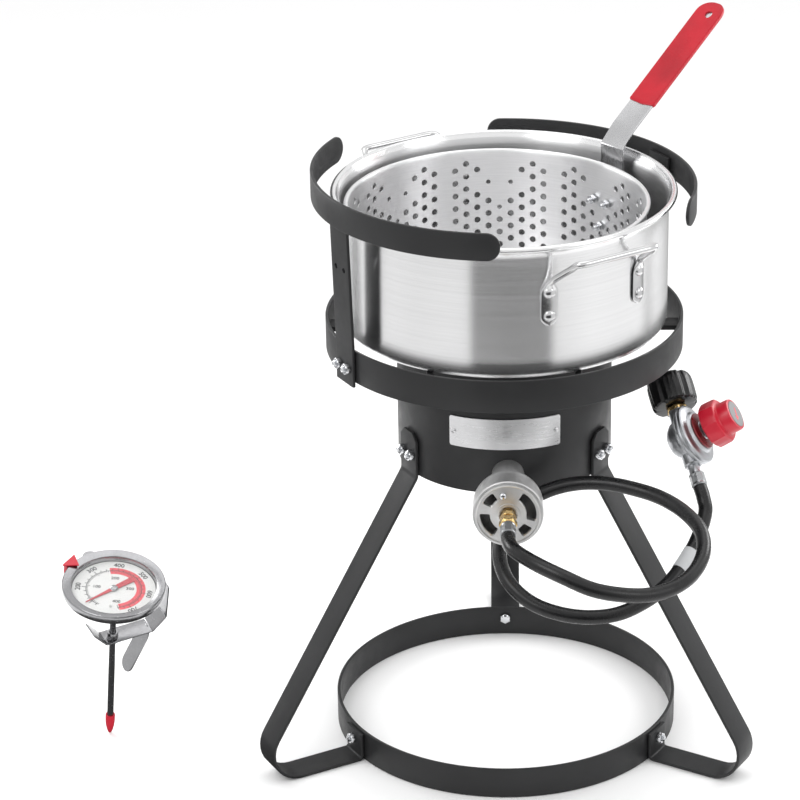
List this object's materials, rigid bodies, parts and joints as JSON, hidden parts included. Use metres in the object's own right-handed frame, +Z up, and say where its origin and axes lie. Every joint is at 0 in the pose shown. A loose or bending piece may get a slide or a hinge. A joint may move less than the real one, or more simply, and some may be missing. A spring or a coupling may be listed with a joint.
{
  "type": "turkey fryer kit",
  "caption": "Strip-steel burner stand with round pot guards, a shallow pot with handles, a perforated fry basket, gas hose with regulator and a dial thermometer.",
  "frame": {"origin": "on the floor, under the middle of the whole kit without its gas hose", "axes": "+Z up; the burner tube and its air shutter face -Y; the thermometer stands at -X"},
  "size_m": [0.6624, 0.5745, 0.6724],
  "materials": {
    "black_paint": "satin powder coat, charcoal black",
    "cast_iron": "rough sand cast, heat darkened",
    "cast_aluminium": "matt die cast",
    "spun_aluminium": "spun and brushed",
    "zinc_steel": "bright zinc plate",
    "stainless": "polished stainless",
    "brass": "machined brass",
    "hose_rubber": "satin black rubber",
    "black_plastic": "moulded ribbed plastic",
    "red_plastic": "moulded red plastic",
    "red_vinyl": "dipped red vinyl",
    "dial_white": "printed white enamel",
    "clear_glass": "clear"
  },
  "bodies": {
    "stand": {"burner_housing": "black_paint", "floor_ring": "black_paint", "top_ring": "black_paint", "leg_left": "black_paint", "leg_right": "black_paint", "leg_rear": "black_paint", "support_bar_left": "black_paint", "support_bar_right": "black_paint", "side_arm_left": "black_paint", "side_arm_right": "black_paint", "guard_upright_left": "black_paint", "guard_upright_right": "black_paint", "pot_guard_left": "black_paint", "pot_guard_right": "black_paint", "burner_strap": "black_paint", "burner_head": "cast_iron", "burner_tube": "cast_aluminium", "regulator_body": "cast_aluminium", "regulator_bonnet": "cast_aluminium", "leg_bolt_left_1": "zinc_steel", "leg_bolt_left_2": "zinc_steel", "leg_bolt_right_1": "zinc_steel", "leg_bolt_right_2": "zinc_steel", "leg_bolt_rear_1": "zinc_steel", "leg_bolt_rear_2": "zinc_steel", "foot_bolt_left": "zinc_steel", "foot_bolt_right": "zinc_steel", "foot_bolt_rear": "zinc_steel", "upright_bolt_left_1": "zinc_steel", "upright_bolt_left_2": "zinc_steel", "upright_bolt_right_1": "zinc_steel", "upright_bolt_right_2": "zinc_steel", "nameplate": "stainless", "hose_ferrule_burner": "stainless", "hose_ferrule_regulator": "stainless", "orifice_fitting": "brass", "flare_nut": "brass", "inlet_nipple": "brass", "gas_hose": "hose_rubber"},
    "air_shutter": {"air_shutter": "cast_aluminium", "shutter_screw": "zinc_steel"},
    "regulator_knob": {"regulator_knob": "red_plastic"},
    "coupling_nut": {"coupling_nut": "black_plastic"},
    "pot": {"pot": "spun_aluminium", "pot_handle_front": "stainless", "pot_handle_rear": "stainless"},
    "basket": {"basket": "spun_aluminium", "basket_handle": "stainless", "handle_grip": "red_vinyl", "basket_screw_1": "zinc_steel", "basket_screw_2": "zinc_steel", "basket_screw_3": "zinc_steel"},
    "thermometer": {"thermometer_case": "stainless", "dial_plate": "dial_white", "glass_lens": "clear_glass", "probe_stem": "stainless", "probe_cap": "red_plastic"},
    "pointer": {"pointer": "red_plastic"},
    "target_marker": {"target_marker": "red_plastic"},
    "pan_clip": {"pan_clip": "stainless"}
  },
  "joints": [
    {"name": "pot_lift", "type": "slide", "parent": "stand", "child": "pot", "axis": [0, 0, 1], "range_m": [0, 0.25]},
    {"name": "basket_lift", "type": "slide", "parent": "pot", "child": "basket", "axis": [0, 0, 1], "range_m": [0, 0.2]},
    {"name": "shutter_turn", "type": "hinge", "parent": "stand", "child": "air_shutter", "pos_m": [0.09653, -0.21986, 0.31], "axis": [0, -1, 0], "range_deg": [-60, 65]},
    {"name": "regulator_turn", "type": "hinge", "parent": "stand", "child": "regulator_knob", "pos_m": [0.26503, -0.07686, 0.3194], "axis": [0.816, -0.1854, 0.5475], "range_deg": [-810, 810]},
    {"name": "nut_spin", "type": "hinge", "parent": "stand", "child": "coupling_nut", "pos_m": [0.26503, -0.07686, 0.3194], "axis": [-0.2309, 0.7637, 0.6028], "continuous": true},
    {"name": "thermometer_lift", "type": "slide", "parent": "stand", "child": "thermometer", "axis": [0, 0, 1], "range_m": [0, 0.15]},
    {"name": "pointer_turn", "type": "hinge", "parent": "thermometer", "child": "pointer", "pos_m": [-0.29947, -0.07386, 0], "axis": [0.0976, -0.2408, 0.9657], "range_deg": [-302, 36], "stiffness_Nm_per_rad": 0.002},
    {"name": "marker_turn", "type": "hinge", "parent": "thermometer", "child": "target_marker", "pos_m": [-0.29947, -0.07386, 0], "axis": [0.0976, -0.2408, 0.9657], "range_deg": [-95, 205]},
    {"name": "clip_slide", "type": "slide", "parent": "thermometer", "child": "pan_clip", "axis": [-0.0976, 0.2408, -0.9657], "range_m": [0, 0.07]}
  ]
}
